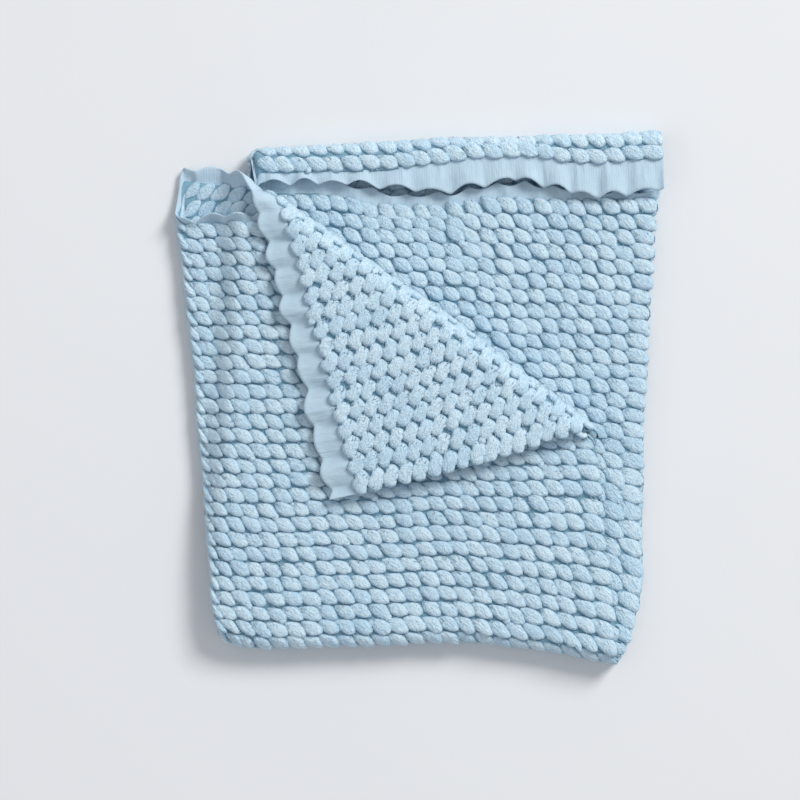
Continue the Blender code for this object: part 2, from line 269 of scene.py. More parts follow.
# Surfaces: cells a metre, shares of a mix and depths in metres
COTTON_ROUGHNESS = 0.92
COTTON_SPECULAR = 0.12
COTTON_SHEEN = 0.35
COTTON_SHEEN_ROUGHNESS = 0.5
STRAND_ANGLE = -48.0
STRAND_STRETCH = 3.2
STRAND_CELLS = 560.0
FUZZ_CELLS = 720.0
MOTTLE_SHARES = {"strands": 1.5, "fuzz": 1.8, "tone": 0.3}
MOTTLE_RANGE = (1.5, 2.1)
# Shares of a puff's height over which its painted shade fades into the top colour
PAINTED_SHADE_RANGE = (-0.3, 0.8)
RELIEF_SHARES = {"strands": 0.6, "fuzz": 0.5}
PUFF_RELIEF = 0.0030
GROUND_PATCH_CELLS = 90.0
GROUND_GRAIN_CELLS = 900.0
GROUND_RELIEF = 0.0006
THREAD_CELLS = {"X": 135.0, "Y": 190.0}
THREAD_WARP = {"Distortion": 2.6, "Detail": 2.0, "Detail Scale": 1.5}
THREAD_SHARE = 0.4
CREASE_STRETCH = 0.22
CREASE_CELLS = 190.0
CREASE_ROUGHNESS = 0.55
WEAVE_RELIEF_SHARE = 0.07
WEAVE_COLOUR_SHARE = 0.05
HEM_PATCH_CELLS = 60.0
HEM_RELIEF = 0.0012
FLOOR_CELLS = 3.0
FLOOR_ROUGHNESS = 0.9
FLOOR_SPECULAR = 0.1

# Camera and light, in metres
VIEW_WIDTH = 0.744
CAMERA_HEIGHT = 4.0
PICTURE_CENTRE = (-0.0163, -0.0033)
SENSOR = 36.0
FLOOR_SIZE = 30.0
WINDOW = {"at": (4.2, 4.2, 4.9), "size": 2.8, "power": 468.0, "colour": (1.0, 0.99, 0.97)}
FILL = {"at": (-1.6, -0.6, 2.6), "size": 3.0, "power": 9.0, "colour": (0.93, 0.96, 1.0)}
ROOM_COLOUR = (0.95, 0.96, 1.0, 1.0)
ROOM_STRENGTH = 0.44


def direction(degrees):
    """Unit plan vector at an angle from +X."""
    angle = np.radians(degrees)
    return np.array([np.cos(angle), np.sin(angle)])


ACROSS = direction(STRIP_LEAN)
UP = direction(STRIP_LEAN + 90.0)
CORNER = np.array(CROSS_CORNER)


def smoothstep(value, low, high):
    """Rises smoothly from 0 at low to 1 at high."""
    x = np.clip((np.asarray(value, dtype=float) - low) / (high - low), 0.0, 1.0)
    return x * x * (3.0 - 2.0 * x)


def bump(offset, spread):
    """Bell curve of height 1."""
    return np.exp(-0.5 * (offset / spread) ** 2)


def hill(x, y, centre, spread):
    """Bell-shaped hill of height 1 around a place in plan."""
    return bump(x - centre[0], spread[0]) * bump(y - centre[1], spread[1])


def waves(place_along, terms):
    """Sum of sine waves, each with its height, length and phase."""
    return sum(height * np.sin(place_along / length + phase) for height, length, phase in terms)


def turn_angle(w):
    """Angle around the lengthwise fold, 0 on leg q and pi on leg p."""
    return np.clip((w + HALF_TURN) / (2.0 * HALF_TURN), 0.0, 1.0) * np.pi


def across_distance(w):
    """Distance along the leg from the lengthwise fold."""
    return np.maximum(np.abs(w) - HALF_TURN, 0.0)


def edge_wave(w, phase):
    """Uneven scallops of about the ruffle length, between -1 and 1."""
    drift = RUFFLE_DRIFT * np.sin(w / RUFFLE_DRIFT_LENGTH + phase)
    turns = 2.0 * np.pi * w / RUFFLE_LENGTH + drift + phase
    scallop = 2.0 * np.sqrt(np.sin(0.5 * turns) ** 2 + SCALLOP_BLUNTNESS) - SCALLOP_LEVEL
    swell = np.sin(SWELL_TURNS * turns + SWELL_PHASE * phase)
    return SCALLOP_SHARE * scallop + SWELL_SHARE * swell


def leg_value(w, table, end):
    """Value of a hem table across both legs, for the lower or the upper end of the cloth."""
    share = across_distance(w) / LEG_WIDTH
    values = table[end + "_q"]
    on_q = np.interp(share, np.linspace(0.0, 1.0, len(values)), values)
    values = table[end + "_p"]
    on_p = np.interp(share, np.linspace(0.0, 1.0, len(values)), values)
    start, finish = np.radians(LEG_CHANGE)
    return on_q + (on_p - on_q) * smoothstep(turn_angle(w), start, finish)


def hem_end(w, end):
    """Place of the free edge along v, for the lower or the upper end of the cloth."""
    return leg_value(w, HEM_ENDS, end) + RUFFLE_REACH * edge_wave(w, END_PHASES[end])


def hem_distance(w, v):
    """Distance from the nearer free edge."""
    return np.minimum(v - hem_end(w, "lower"), hem_end(w, "upper") - v)


def hem_width(w, v):
    """Width of the nearer hem."""
    return np.where(v < 0.0, leg_value(w, HEM_WIDTHS, "lower"), leg_value(w, HEM_WIDTHS, "upper"))


def outward_of(angle):
    """Plan direction to the left of a line at an angle from +X."""
    along = direction(angle)
    return np.array([-along[1], along[0]])


def bend(point, normal, active, start, angle, axis_pitch):
    """Folds the cloth up and back over a plan line, each layer around one raised axis."""
    outward = outward_of(angle)
    plan = point[:, :2] - np.array(start)
    beyond = np.where(active, plan @ outward, 0.0)
    axis = axis_pitch * LAYER_PITCH
    radius = np.maximum(axis - point[:, 2], LEAST_RADIUS)
    theta = np.clip(beyond / radius, 0.0, np.pi)
    flat_rest = np.maximum(beyond - np.pi * radius, 0.0)
    reach = np.where(beyond > 0.0, radius * np.sin(theta) - flat_rest, beyond)
    moved = point.copy()
    shift = np.where(beyond > 0.0, reach - beyond, 0.0)
    moved[:, :2] += shift[:, None] * outward
    moved[:, 2] = np.where(beyond > 0.0, axis - radius * np.cos(theta), point[:, 2])
    level = normal[:, :2] @ outward
    turned_level = level * np.cos(theta) - normal[:, 2] * np.sin(theta)
    turned = normal.copy()
    turned[:, :2] += (turned_level - level)[:, None] * outward
    turned[:, 2] = level * np.sin(theta) + normal[:, 2] * np.cos(theta)
    return moved, turned, theta


def doubled_strip(w, v):
    """The cloth folded in half along its length."""
    angle = turn_angle(w)
    gather = np.interp(v, GATHER_PLACES, GATHER_SHARES)
    gather = gather + np.where(w < 0.0, np.interp(v, OUTER_PLACES, OUTER_SHARES), 0.0)
    across = across_distance(w) * (1.0 - gather) - 0.5 * LAYER_PITCH * np.sin(angle)
    height = 0.5 * LAYER_PITCH * (1.0 - np.cos(angle))
    plan = CORNER + across[:, None] * ACROSS - v[:, None] * UP
    normal = np.column_stack([np.sin(angle)[:, None] * ACROSS, np.cos(angle)])
    return np.column_stack([plan, height]), normal


def loosen_hems(point, normal, w, v):
    """Ruffles the hems, stands one up, curls the one beside it and holds the fold between close."""
    angle = turn_angle(w)
    loose = 1.0 - smoothstep(hem_distance(w, v) / hem_width(w, v), 0.0, LOOSE_SHARE)
    near_fold = 1.0 - smoothstep(across_distance(w), STAND_FULL_SHARE * STAND_END, STAND_END)
    stand = HEM_STAND * near_fold * (1.0 - smoothstep(angle, 0.0, 0.5 * np.pi))
    curl = HEM_CURL * LAYER_PITCH * smoothstep(angle, CURL_START * np.pi, np.pi)
    phase = np.where(v > 0.0, END_PHASES["upper"], END_PHASES["lower"])
    close = 1.0 - np.where(v > 0.0, bump(angle - HUG_ANGLE, HUG_SPREAD), 0.0)
    ruffle = close * (RUFFLE_LIFT + RUFFLE_HEIGHT * edge_wave(w, phase))
    lift = ruffle + np.where(v > 0.0, stand - curl, 0.0)
    return point - (loose * lift)[:, None] * normal


def settled_height(x, y, z):
    """Lets the edge that overhangs the stack sink to the surface, on slightly uneven layers."""
    plan = np.column_stack([x, y]) - CORNER
    past_stack = -(plan @ ACROSS) - 0.5 * (LAYER_PITCH + THICKNESS)
    overhang = smoothstep(past_stack, 0.0, OVERHANG_DROP_LENGTH)
    drop = (2.0 * LAYER_PITCH - FLOOR_GAP) * overhang * smoothstep(plan @ UP, *OVERHANG_ZONE)
    uneven_x = np.sin(x / UNEVEN_LENGTHS[0] + UNEVEN_PHASES[0])
    uneven_y = np.sin(y / UNEVEN_LENGTHS[1] + UNEVEN_PHASES[1])
    return (z - drop) * (1.0 + UNEVENNESS * uneven_x * uneven_y)


def settle(point):
    """Settles the height, sags the lower edge, rounds its corners and bulges the left side."""
    x, y, z = point[:, 0], point[:, 1], point[:, 2]
    lower = 1.0 - smoothstep(y, *SAG_ZONE)
    sag = SAG * lower * np.clip((x - SAG_START) / SAG_LENGTH, 0.0, SAG_LIMIT) ** 2
    left = LEFT_ROUNDING * hill(x, y, LEFT_PLACE, LEFT_SPREAD)
    right = RIGHT_ROUNDING * hill(x, y, RIGHT_PLACE, RIGHT_SPREAD)
    bulge = SIDE_BULGE * hill(x, y, BULGE_PLACE, BULGE_SPREAD)
    moved_x = x + left - right - bulge + waves(y, SIDE_WAVES)
    moved_y = y + LEFT_RAISE * left + RIGHT_RAISE * right - sag + waves(x, END_WAVES)
    return np.column_stack([moved_x + PLAN_SHIFT[0], moved_y + PLAN_SHIFT[1], settled_height(x, y, z)])


def fold_cloth(w, v):
    """Middle points, face normals and the band's and flap's turns at the flat places w and v."""
    point, normal = doubled_strip(w, v)
    flat = np.ones(len(w), dtype=bool)
    point, normal, crossed = bend(point, normal, flat, CORNER, CROSS_ANGLE + 180.0, CROSS_AXIS)
    lower = (v < BAND_PART) & (turn_angle(w) < BAND_LEG_TURN * np.pi)
    point, normal, band = bend(point, normal, lower, BAND_START, BAND_ANGLE, BAND_AXIS)
    upper = crossed >= np.pi
    point, normal, flap = bend(point, normal, upper, FLAP_START, FLAP_ANGLE, FLAP_AXIS)
    return loosen_hems(point, normal, w, v), normal, band / np.pi, flap / np.pi


def past_flap(middle):
    """Plan distance past the line that the flap folds over."""
    return (middle[:, :2] - np.array(FLAP_START)) @ outward_of(FLAP_ANGLE)


def place(w, v, height):
    """Settled points in metres at a height off the cloth's middle, positive on its inner face."""
    middle, normal, _, _ = fold_cloth(w, v)
    middle[:, 2] += 0.5 * THICKNESS
    settled = settle(middle + height[:, None] * normal)
    settled[:, 2] = np.maximum(settled[:, 2], 0.0)
    return settled * METRE


def mesh_object(name, points, faces, material, **values):
    """A smooth mesh piece that rides with the object, with point values for its material."""
    mesh = bpy.data.meshes.new(name)
    mesh.from_pydata(points.tolist(), [], faces.tolist())
    mesh.update()
    mesh.shade_smooth()
    mesh.materials.append(material)
    for key, value in values.items():
        kind = "FLOAT" if value.ndim == 1 else "FLOAT_VECTOR"
        attribute = mesh.attributes.new(key, kind, "POINT")
        field = "value" if value.ndim == 1 else "vector"
        attribute.data.foreach_set(field, value.astype(np.float32).ravel())
    piece = bpy.data.objects.new(name, mesh)
    bpy.context.scene.collection.objects.link(piece)
    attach(piece, "root")
    return piece


def grid_faces(rows, columns, flip):
    """Quads of a grid of points, numbered row by row."""
    index = np.arange(rows * columns).reshape(rows, columns)
    quads = np.stack([index[:-1, :-1], index[:-1, 1:], index[1:, 1:], index[1:, :-1]], axis=-1)
    quads = quads.reshape(-1, 4)
    return quads[:, ::-1] if flip else quads


def closed_strip(name, w, v, half, material, crease=0.0):
    """A closed piece of cloth from a grid of flat places, its half thickness and its creases."""
    rows, columns = w.shape
    count = rows * columns
    flat_w, flat_v, thick = w.ravel(), v.ravel(), half.ravel()
    shift = (crease + 0.0 * v).ravel()
    inner = place(flat_w, flat_v, thick + shift)
    outer = place(flat_w, flat_v, shift - thick)
    index = np.arange(count).reshape(rows, columns)
    rim = np.concatenate([index[0, :], index[1:, -1], index[-1, -2::-1], index[-2:0:-1, 0]])
    following = np.roll(rim, -1)
    sides = np.column_stack([following, rim, rim + count, following + count])
    faces = np.vstack([grid_faces(rows, columns, False), grid_faces(rows, columns, True) + count, sides])
    cloth = np.tile(np.column_stack([flat_w, flat_v, np.zeros(count)]) * METRE, (2, 1))
    return mesh_object(name, np.vstack([inner, outer]), faces, material, cloth=cloth)


def leg_columns(step, turn_steps, inset=0.0):
    """Columns across the cloth, closer together around the lengthwise fold."""
    leg = np.linspace(HALF_TURN, HALF_WIDTH - inset, int(LEG_WIDTH / step))[1:]
    turn = np.linspace(-HALF_TURN, HALF_TURN, turn_steps)
    return np.concatenate([-leg[::-1], turn, leg])


def seam(w, end):
    """Place along v of the seam between the puffs and a hem."""
    sign = 1.0 if end == "lower" else -1.0
    return leg_value(w, HEM_ENDS, end) + sign * leg_value(w, HEM_WIDTHS, end)


def ground_cloth(material):
    """The thin cloth between the two hems that the puffs are woven on."""
    columns = leg_columns(GROUND_STEP, GROUND_TURN_STEPS, GROUND_INSET)
    low = seam(columns, "lower") + SEAM_GAP
    high = seam(columns, "upper") - SEAM_GAP
    start, finish = CROSS_FOLD_SPAN
    before = np.linspace(0.0, 1.0, GROUND_ROWS[0])[:-1, None]
    within = np.linspace(start, finish, GROUND_ROWS[1])[:, None]
    after = np.linspace(0.0, 1.0, GROUND_ROWS[2])[1:, None]
    v = np.vstack([low + (start - low) * before, within + 0.0 * low, finish + (high - finish) * after])
    w = np.tile(columns, (len(v), 1))
    return closed_strip("blanket_ground", w, v, np.full(v.shape, GROUND_HALF), material)


def hem_half_thickness(share):
    """Half the thickness of a hem, from its rolled free edge at 0 to its seam at 1."""
    roll = HEM_ROLL * bump(share, HEM_ROLL_SPREAD)
    rim = HEM_RIM * bump(share, HEM_RIM_SPREAD)
    return 0.5 * HEM_THICKNESS * (HEM_BODY + roll - rim)


def hem_creases(w, share):
    """Fine pleats near the seam of a hem, and deeper tucks across it."""
    drift = PLEAT_DRIFT * np.sin(w / PLEAT_DRIFT_LENGTH)
    pleats = np.sin(w / PLEAT_LENGTH + drift) * smoothstep(share, *PLEAT_ZONE)
    along = np.mod(w + TUCK_DRIFT * np.sin(w / TUCK_DRIFT_LENGTH), TUCK_SPACING)
    tucks = bump(along - TUCK_PLACE, TUCK_WIDTH) * smoothstep(share, *TUCK_ZONE)
    return PLEAT_DEPTH * pleats - TUCK_DEPTH * tucks


def hem_strip(end, material):
    """One ruffled plain-weave hem, a little thicker at its rolled free edge."""
    sign = 1.0 if end == "lower" else -1.0
    columns = leg_columns(HEM_STEP, HEM_TURN_STEPS)
    share = np.linspace(0.0, 1.0, HEM_ROWS)[:, None]
    edge = hem_end(columns, end)
    v = edge + share * (seam(columns, end) + sign * HEM_LAP - edge)
    w = np.tile(columns, (len(v), 1))
    half = hem_half_thickness(share) + 0.0 * v
    crease = hem_creases(w, share)
    if sign < 0.0:
        w, v, half, crease = w[::-1], v[::-1], half[::-1], crease[::-1]
    return closed_strip("blanket_hem_" + end, w, v, half, material, crease)


def puff_rings(rings, sectors, profile):
    """Unit polar grid of one puff: reaches, angle and height of each point, and its faces."""
    tilt = np.radians(np.linspace(90.0, PUFF_BOTTOM, rings + 1)[1:])
    ring_height = np.sign(tilt) * np.abs(np.sin(tilt)) ** profile[2]
    reach_s = np.concatenate([[0.0], np.repeat(np.cos(tilt) ** profile[0], sectors)])
    reach_t = np.concatenate([[0.0], np.repeat(np.cos(tilt) ** profile[1], sectors)])
    height = np.concatenate([[1.0], np.repeat(ring_height, sectors)])
    around = np.linspace(0.0, 2.0 * np.pi, sectors, endpoint=False)
    angle = np.concatenate([[0.0], np.tile(around, rings)])
    index = np.arange(sectors)
    following = np.roll(index, -1)
    fan = np.column_stack([0 * index, 1 + index, 1 + following])
    bands = []
    for ring in range(rings - 1):
        inner = 1 + ring * sectors
        outer = inner + sectors
        corners = [inner + index, outer + index, outer + following, inner + following]
        bands.append(np.column_stack(corners))
    return (reach_s, reach_t, angle, height), fan, np.vstack(bands)


def hem_lines(centres, end):
    """Straight line through the seam of one hem, and how far the seam strays from it."""
    place_of_seam = seam(centres, end)
    line = np.polyval(np.polyfit(centres, place_of_seam, 1), centres)
    return line, place_of_seam - line


def puff_columns(leg):
    """Widths and centres of the columns of puffs across one leg."""
    sign = -1.0 if leg == "q" else 1.0
    column = np.arange(PUFF_COLUMNS)
    narrowing = FOLD_NARROWING * np.exp(-column / FOLD_NARROWING_COLUMNS)
    growth = SELVEDGE_GROWTH * np.exp((column - PUFF_COLUMNS + 1) / SELVEDGE_GROWTH_COLUMNS)
    widths = 1.0 - narrowing + growth
    span = HALF_WIDTH - HALF_TURN if leg == "p" else HALF_WIDTH + HALF_TURN
    widths *= span / widths.sum()
    edges = HALF_TURN + sign * np.concatenate([[0.0], np.cumsum(widths)])
    return widths, 0.5 * (edges[1:] + edges[:-1])


def puff_places(leg, half):
    """Centres and sizes of the puffs of one leg, on the lower or the upper half."""
    widths, centres = puff_columns(leg)
    low, low_stray = hem_lines(centres, "lower")
    high, high_stray = hem_lines(centres, "upper")
    rows = PUFF_ROWS[leg]
    pitch = (high - low) / rows
    step = np.arange(rows)[:, None] + 0.5
    stray = low_stray * np.exp(-step / HEM_STRAY_ROWS) + high_stray * np.exp((step - rows) / HEM_STRAY_ROWS)
    v = low + step * pitch + stray
    w = np.tile(centres, (rows, 1))
    keep = v < HALF_SPLIT if half == "lower" else v >= HALF_SPLIT
    sizes = np.stack([np.tile(widths, (rows, 1)), np.tile(pitch, (rows, 1))], axis=-1)
    return w[keep], v[keep], sizes[keep]


def puff_rise(w, v, leg, half):
    """Height of each puff off the cloth's middle: taller where nothing lies on it."""
    middle, _, band, flap = fold_cloth(w, v)
    if leg == "q" and half == "upper":
        return EXPOSED_RISE - FLAP_PRESS * smoothstep(flap, *PRESS_TURN)
    if leg == "q":
        return RESTING_RISE + (EXPOSED_RISE - RESTING_RISE) * smoothstep(band, *RISE_TURN)
    if half == "upper":
        return COVERED_RISE + (EXPOSED_RISE - COVERED_RISE) * smoothstep(flap, *RISE_TURN)
    bare = smoothstep(past_flap(middle), *RISE_PAST_FLAP)
    return COVERED_RISE + (EXPOSED_RISE - COVERED_RISE) * bare


def puff_outline(angle, style):
    """Distance of a puff's edge from its middle: a rounded square with its corners cut."""
    power = style["squareness"]
    square = (np.abs(np.cos(angle)) ** power + np.abs(np.sin(angle)) ** power) ** (-1.0 / power)
    for corner, depth in zip(CUT_CORNERS, style["cuts"]):
        away = np.mod(angle - np.radians(corner) + np.pi, 2.0 * np.pi) - np.pi
        square = square * (1.0 - depth * bump(away, np.radians(style["spread"])))
    return square


def crumple(s, t, rng, count):
    """Small uneven dents of each puff, about -1 to 1."""
    total = np.zeros((count, len(s)))
    for turns in CRUMPLE_TURNS:
        heading = rng.uniform(0.0, np.pi, (count, 1))
        phase = rng.uniform(0.0, 2.0 * np.pi, (count, 1))
        total += np.sin(turns * (s * np.cos(heading) + t * np.sin(heading)) + phase) / turns ** 0.5
    return CRUMPLE_SHARE * total


def rounded_edge(w):
    """Draws in what would reach past the selvedges, so that it ends round."""
    start = HALF_WIDTH + SELVEDGE_OVERHANG - SELVEDGE_ROUND
    past = np.maximum(np.abs(w) - start, 0.0)
    drawn_in = SELVEDGE_ROUND * np.tanh(past / (SELVEDGE_EASE * SELVEDGE_ROUND))
    return np.sign(w) * (np.minimum(np.abs(w), start) + drawn_in)


def unit_puff(unit, style):
    """Places of one puff's points along s and t, before it is sized."""
    reach_s, reach_t, angle, _ = unit
    outline = puff_outline(angle, style)
    return reach_s * outline * np.cos(angle), reach_t * outline * np.sin(angle)


def varied(s, t, angle, count, rng):
    """Gives each puff its own twist, wobble and size."""
    twist = rng.normal(0.0, np.radians(TWIST), (count, 1))
    wobble = 1.0 + WOBBLE * np.sin(WOBBLE_LOBES * angle + rng.uniform(*WOBBLE_PHASES, (count, 1)))
    grow = wobble[:, :, None] * rng.normal(1.0, SIZE_SPREAD, (count, 1, 2))
    s_turned = (s * np.cos(twist) - t * np.sin(twist)) * grow[:, :, 0]
    t_turned = (s * np.sin(twist) + t * np.cos(twist)) * grow[:, :, 1]
    return s_turned, t_turned


def sized(s, t, sizes, stretch, style, rng):
    """Distances along s and t from each puff's centre, in millimetres."""
    count = len(sizes)
    place_t = style["reach"][1] * sizes[:, 1:] * t * stretch[:, None]
    place_s = style["reach"][0] * sizes[:, :1] * s + style["lean"] * place_t
    place_s += style["shift"][0] * sizes[:, :1] + rng.normal(0.0, PLACE_SPREAD[0], (count, 1))
    place_t = place_t + style["shift"][1] * sizes[:, 1:] + rng.normal(0.0, PLACE_SPREAD[1], (count, 1))
    return place_s, place_t


def tucked(point_w, flap):
    """Draws the covered layer's selvedge in under the one that lies on it."""
    covered = 1.0 - smoothstep(flap, 0.0, SELVEDGE_TUCK_TURN)
    near_selvedge = smoothstep(point_w, HALF_WIDTH - SELVEDGE_TUCK_LENGTH, HALF_WIDTH)
    return point_w - SELVEDGE_TUCK * covered[:, None] * near_selvedge


def puff_points(name, leg, half, face, unit, keep, style):
    """Flat places and heights of the points of the kept puffs of one leg and half."""
    rng = np.random.default_rng(SEED + len(name))
    w, v, sizes = puff_places(leg, half)
    rise = puff_rise(w, v, leg, half) if face == "outer" else np.full(len(w), COVERED_RISE)
    w, v, sizes, rise = w[keep], v[keep], sizes[keep], rise[keep]
    count = len(w)
    s, t = unit_puff(unit, style)
    s_turned, t_turned = varied(s, t, unit[2], count, rng)
    _, _, band, flap = fold_cloth(w, v)
    stretch = 1.0 + FOLD_STRETCH * bump(band - 0.5, FOLD_STRETCH_SPREAD)
    place_s, place_t = sized(s_turned, t_turned, sizes, stretch, style, rng)
    sign = -1.0 if leg == "q" else 1.0
    point_w = rounded_edge(w[:, None] + sign * place_s)
    if (leg, half) == ("p", "upper"):
        point_w = tucked(point_w, flap)
    point_v = v[:, None] + sign * place_t
    if leg == "q":
        point_w = np.where(point_v < BAND_PART, np.minimum(point_w, BAND_TEAR), point_w)
    rise = rise * rng.normal(1.0, RISE_SPREAD, count)
    dents = DENT_DEPTH * crumple(s, t, rng, count) * np.clip(DENT_FADE - unit[1], 0.0, 1.0)
    slope = 1.0 + style["tilt"][0] * s + style["tilt"][1] * t
    lifted = GROUND_HALF + (rise[:, None] - GROUND_HALF) * (unit[3] * slope + dents)
    return point_w, point_v, np.clip(lifted, LEAST_RISE, None), rng


def puffs(name, leg, half, face, keep, grid, material, style=PLUMP):
    """The kept puffs of one leg and half on one face of the cloth, as one mesh."""
    unit, fan, bands = puff_rings(*grid, style["profile"])
    point_w, point_v, lifted, rng = puff_points(name, leg, half, face, unit, keep, style)
    side = -1.0 if face == "outer" else 1.0
    points = place(point_w.ravel(), point_v.ravel(), side * lifted.ravel())
    per_puff = len(unit[0])
    count = len(point_w)
    base = (np.arange(count) * per_puff)[:, None, None]
    triangles = (fan[None] + base).reshape(-1, 3)
    quads = (bands[None] + base).reshape(-1, 4)
    if face == "outer":
        triangles, quads = triangles[:, ::-1], quads[:, ::-1]
    faces = np.vstack([triangles, quads[:, [0, 1, 2]], quads[:, [0, 2, 3]]])
    tone = np.repeat(rng.uniform(0.0, 1.0, count), per_puff)
    # Height of each point in its puff, which sets the painted shade down the puff's sides
    up = np.tile(unit[3], count)
    cloth = np.column_stack([point_w.ravel(), point_v.ravel(), lifted.ravel()]) * METRE
    return mesh_object(name, points, faces, material, tone=tone, up=up, cloth=cloth)


def fibre_shapes(sizes, style, rng):
    """Corners of each fibre along s and t from its puff's centre, and their heights in it."""
    count = len(sizes)
    spread = rng.choice(FIBRE_HEADINGS, count) + rng.normal(0.0, FIBRE_HEADING_SPREAD, count)
    heading = np.radians(spread)
    angle = heading + np.radians(rng.normal(0.0, FIBRE_ROOT_SPREAD, count))
    root = rng.uniform(*FIBRE_ROOTS, count)
    length = rng.uniform(*FIBRE_LENGTH, count)
    root_s = root * np.cos(angle) * style["reach"][0] * sizes[:, 0]
    root_t = root * np.sin(angle) * style["reach"][1] * sizes[:, 1]
    corners = np.array(FIBRE_CORNERS)
    along = corners[:, 1] * length[:, None]
    aside = corners[:, 0] * FIBRE_WIDTH
    point_s = root_s[:, None] + along * np.cos(heading)[:, None] - aside * np.sin(heading)[:, None]
    point_t = root_t[:, None] + along * np.sin(heading)[:, None] + aside * np.cos(heading)[:, None]
    return point_s, point_t, corners[:, 2]


def dome_height(point_s, point_t, sizes, style):
    """Share of a puff's rise at a place on it, no less than the fibres' own."""
    far_s = point_s / (style["reach"][0] * sizes[:, :1])
    far_t = point_t / (style["reach"][1] * sizes[:, 1:])
    low = np.clip(1.0 - np.hypot(far_s, far_t) ** (2.0 / style["profile"][0]), 0.0, 1.0)
    return np.maximum(low ** (0.5 * style["profile"][2]), FIBRE_LEAST_SHARE)


def fibres(name, leg, half, keep, material, style):
    """Short loose fibres that reach from the puffs over the valleys beside them."""
    rng = np.random.default_rng(SEED + 5 * len(name))
    w, v, sizes = puff_places(leg, half)
    rise = puff_rise(w, v, leg, half)
    w, v, sizes, rise = [np.repeat(value[keep], FIBRES_A_PUFF, axis=0) for value in (w, v, sizes, rise)]
    count = len(w)
    point_s, point_t, corner_height = fibre_shapes(sizes, style, rng)
    domed = dome_height(point_s, point_t, sizes, style)
    height = GROUND_HALF + (rise[:, None] - GROUND_HALF) * domed + FIBRE_LIFT + corner_height
    sign = -1.0 if leg == "q" else 1.0
    point_w = rounded_edge(w[:, None] + sign * (point_s + style["lean"] * point_t))
    point_v = v[:, None] + sign * point_t
    points = place(point_w.ravel(), point_v.ravel(), -height.ravel())
    per_fibre = len(FIBRE_CORNERS)
    base = per_fibre * np.arange(count)[:, None, None]
    triangles = (np.array(FIBRE_FACES)[None] + base).reshape(-1, 3)
    tone = np.repeat(rng.uniform(*FIBRE_TONES, count), per_fibre)
    up = np.ones(per_fibre * count)
    cloth = np.column_stack([point_w.ravel(), point_v.ravel(), height.ravel()]) * METRE
    return mesh_object(name, points, triangles, material, tone=tone, up=up, cloth=cloth)


class Nodes:
    """Short calls for building one material's node tree."""

    def __init__(self, name):
        self.material = bpy.data.materials.new(name)
        self.material.use_nodes = True
        self.tree = self.material.node_tree
        self.shader = self.tree.nodes["Principled BSDF"]

    def add(self, kind, inputs=None, **settings):
        """A node with its settings, and its inputs linked or set by name."""
        node = self.tree.nodes.new(kind)
        for key, value in settings.items():
            setattr(node, key, value)
        for key, value in (inputs or {}).items():
            self.feed(node.inputs[key], value)
        return node

    def feed(self, socket, value):
        """Links an output to a socket, or sets the socket's value."""
        if isinstance(value, bpy.types.NodeSocket):
            self.tree.links.new(value, socket)
        else:
            socket.default_value = value

    def mix(self, share, first, second):
        """Colour between first and second."""
        node = self.add("ShaderNodeMix", data_type="RGBA")
        self.feed(node.inputs[0], share)
        self.feed(node.inputs[6], first)
        self.feed(node.inputs[7], second)
        return node.outputs[2]

    def math(self, operation, first, second=0.0):
        """One arithmetic step."""
        node = self.add("ShaderNodeMath", operation=operation)
        self.feed(node.inputs[0], first)
        self.feed(node.inputs[1], second)
        return node.outputs[0]

    def add_share(self, first, second, share):
        """The first value plus a share of the second."""
        return self.math("ADD", first, self.math("MULTIPLY", second, share))

    def ramp(self, value, low, high):
        """Rises evenly from 0 at low to 1 at high."""
        node = self.add("ShaderNodeMapRange", {"Value": value, "From Min": low, "From Max": high})
        return node.outputs["Result"]

    def attribute(self, name):
        """A point value of the mesh."""
        return self.add("ShaderNodeAttribute", attribute_name=name)

    def noise(self, vector, scale, detail=3.0, roughness=0.6):
        """Fractal noise at a scale in cells a metre."""
        node = self.add("ShaderNodeTexNoise", {"Scale": scale, "Detail": detail, "Roughness": roughness})
        self.tree.links.new(vector, node.inputs["Vector"])
        return node.outputs["Fac"]


def soft_cotton(nodes, colour, relief, distance):
    """Finishes a cotton shader with its colour, bump, fuzz and roughness."""
    bumped = nodes.add("ShaderNodeBump", {"Strength": 1.0, "Distance": distance})
    nodes.feed(bumped.inputs["Height"], relief)
    inputs = nodes.shader.inputs
    nodes.feed(inputs["Base Color"], colour)
    nodes.feed(inputs["Normal"], bumped.outputs["Normal"])
    inputs["Roughness"].default_value = COTTON_ROUGHNESS
    inputs["Specular IOR Level"].default_value = COTTON_SPECULAR
    inputs["Sheen Weight"].default_value = COTTON_SHEEN
    inputs["Sheen Roughness"].default_value = COTTON_SHEEN_ROUGHNESS
    inputs["Sheen Tint"].default_value = SHEEN_TINT
    return nodes.material


